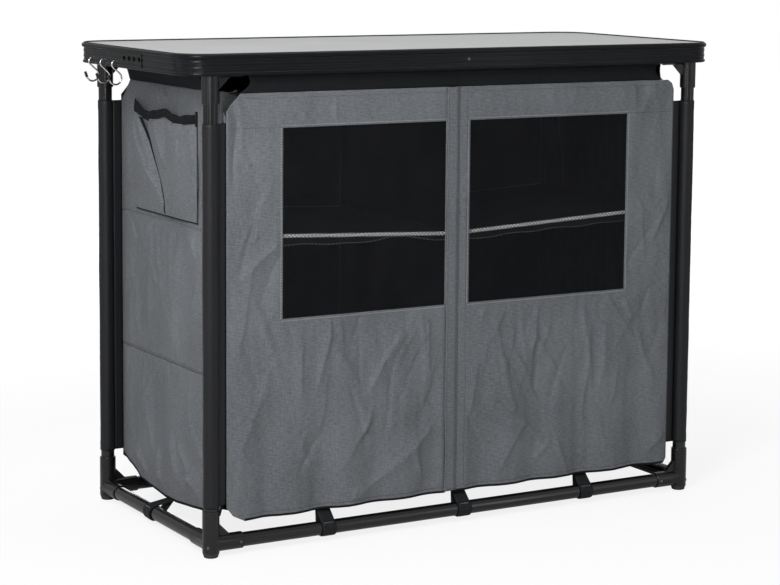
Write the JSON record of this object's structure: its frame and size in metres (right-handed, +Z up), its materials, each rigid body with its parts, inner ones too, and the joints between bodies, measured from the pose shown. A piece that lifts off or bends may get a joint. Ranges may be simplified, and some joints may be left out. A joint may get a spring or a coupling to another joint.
{
  "type": "camping cupboard",
  "caption": "Free-standing folding-style camping cupboard: tube frame, framed worktop, cloth cabinet with zipped net-window doors, shelves, side pocket and hooks.",
  "frame": {"origin": "on the floor, midway between the four legs", "axes": "+Z up, +X along the long side to the right, -Y to the front with the doors"},
  "size_m": [1.0427, 0.4564, 0.8],
  "materials": {
    "black_cloth": "woven",
    "black_tape": "woven",
    "board": "satin",
    "bright_fixing": "satin",
    "clip_plastic": "satin",
    "corner_moulding": "satin",
    "edging": "woven binding",
    "foot_rubber": "matte",
    "frame_tube": "satin",
    "grey_cloth": "woven",
    "hook_tip": "satin",
    "hook_wire": "polished",
    "lining_cloth": "woven",
    "net": "open net",
    "rail": "satin",
    "zip_metal": "satin",
    "zip_tape": "woven with moulded teeth"
  },
  "bodies": {
    "frame": {"base_straps": "black_cloth", "bottom_corner_front_left": "corner_moulding", "bottom_corner_front_right": "corner_moulding", "bottom_corner_rear_left": "corner_moulding", "bottom_corner_rear_right": "corner_moulding", "bottom_tube_front": "frame_tube", "bottom_tube_left": "frame_tube", "bottom_tube_rear": "frame_tube", "bottom_tube_right": "frame_tube", "centre_dividers": "lining_cloth", "corner_rivets": "bright_fixing", "floor_panel": "lining_cloth", "foot_caps": "foot_rubber", "left_wall": "grey_cloth", "leg_front_left": "frame_tube", "leg_front_right": "frame_tube", "leg_rear_left": "frame_tube", "leg_rear_right": "frame_tube", "leg_sleeve_front_left": "black_cloth", "leg_sleeve_front_right": "black_cloth", "leg_sleeve_rear_left": "black_cloth", "leg_sleeve_rear_right": "black_cloth", "lower_shelf": "lining_cloth", "pocket_hem": "black_tape", "rear_wall": "grey_cloth", "right_wall": "grey_cloth", "roof_cloth": "lining_cloth", "shelf_edgings": "edging", "side_pocket": "grey_cloth", "top_band_front": "black_cloth", "top_band_left": "black_cloth", "top_band_rear": "black_cloth", "top_band_right": "black_cloth", "top_corner_front_left": "corner_moulding", "top_corner_front_right": "corner_moulding", "top_corner_rear_left": "corner_moulding", "top_corner_rear_right": "corner_moulding", "top_tube_front": "frame_tube", "top_tube_left": "frame_tube", "top_tube_rear": "frame_tube", "top_tube_right": "frame_tube", "upper_shelf": "lining_cloth"},
    "worktop": {"edge_rail": "rail", "worktop_board": "board", "rail_clips": "clip_plastic", "rail_screws": "bright_fixing"},
    "hook_a": {"hook_1": "hook_wire", "hook_tip_1": "hook_tip"},
    "hook_b": {"hook_2": "hook_wire", "hook_tip_2": "hook_tip"},
    "hook_c": {"hook_3": "hook_wire", "hook_tip_3": "hook_tip"},
    "left_door": {"left_door_cloth": "grey_cloth", "left_window_mesh": "net", "zip_left_half": "zip_tape"},
    "right_door": {"right_door_cloth": "grey_cloth", "right_window_mesh": "net", "zip_right_half": "zip_tape", "zip_flap": "grey_cloth"},
    "slider": {"zip_slider": "zip_metal"}
  },
  "joints": [
    {"name": "worktop_lift", "type": "slide", "parent": "frame", "child": "worktop", "axis": [0, 0, 1], "range_m": [0, 0.06]},
    {"name": "hook_a_swing", "type": "hinge", "parent": "worktop", "child": "hook_a", "pos_m": [-0.5117, 0.147, 0.7702], "axis": [0, 1, 0], "range_deg": [-25, 25]},
    {"name": "hook_b_swing", "type": "hinge", "parent": "worktop", "child": "hook_b", "pos_m": [-0.5117, 0.098, 0.7702], "axis": [0, 1, 0], "range_deg": [-25, 25]},
    {"name": "hook_c_swing", "type": "hinge", "parent": "worktop", "child": "hook_c", "pos_m": [-0.5117, 0.049, 0.7702], "axis": [0, 1, 0], "range_deg": [-25, 25]},
    {"name": "left_door_swing", "type": "hinge", "parent": "frame", "child": "left_door", "pos_m": [-0.4355, -0.207, 0.394], "axis": [0, 0, -1], "range_deg": [0, 110], "deforming": ["zip_flap"]},
    {"name": "right_door_swing", "type": "hinge", "parent": "frame", "child": "right_door", "pos_m": [0.4355, -0.207, 0.394], "axis": [0, 0, 1], "range_deg": [0, 110]},
    {"name": "zip_run", "type": "slide", "parent": "right_door", "child": "slider", "axis": [0, 0, 1], "range_m": [0, 0.64]}
  ]
}
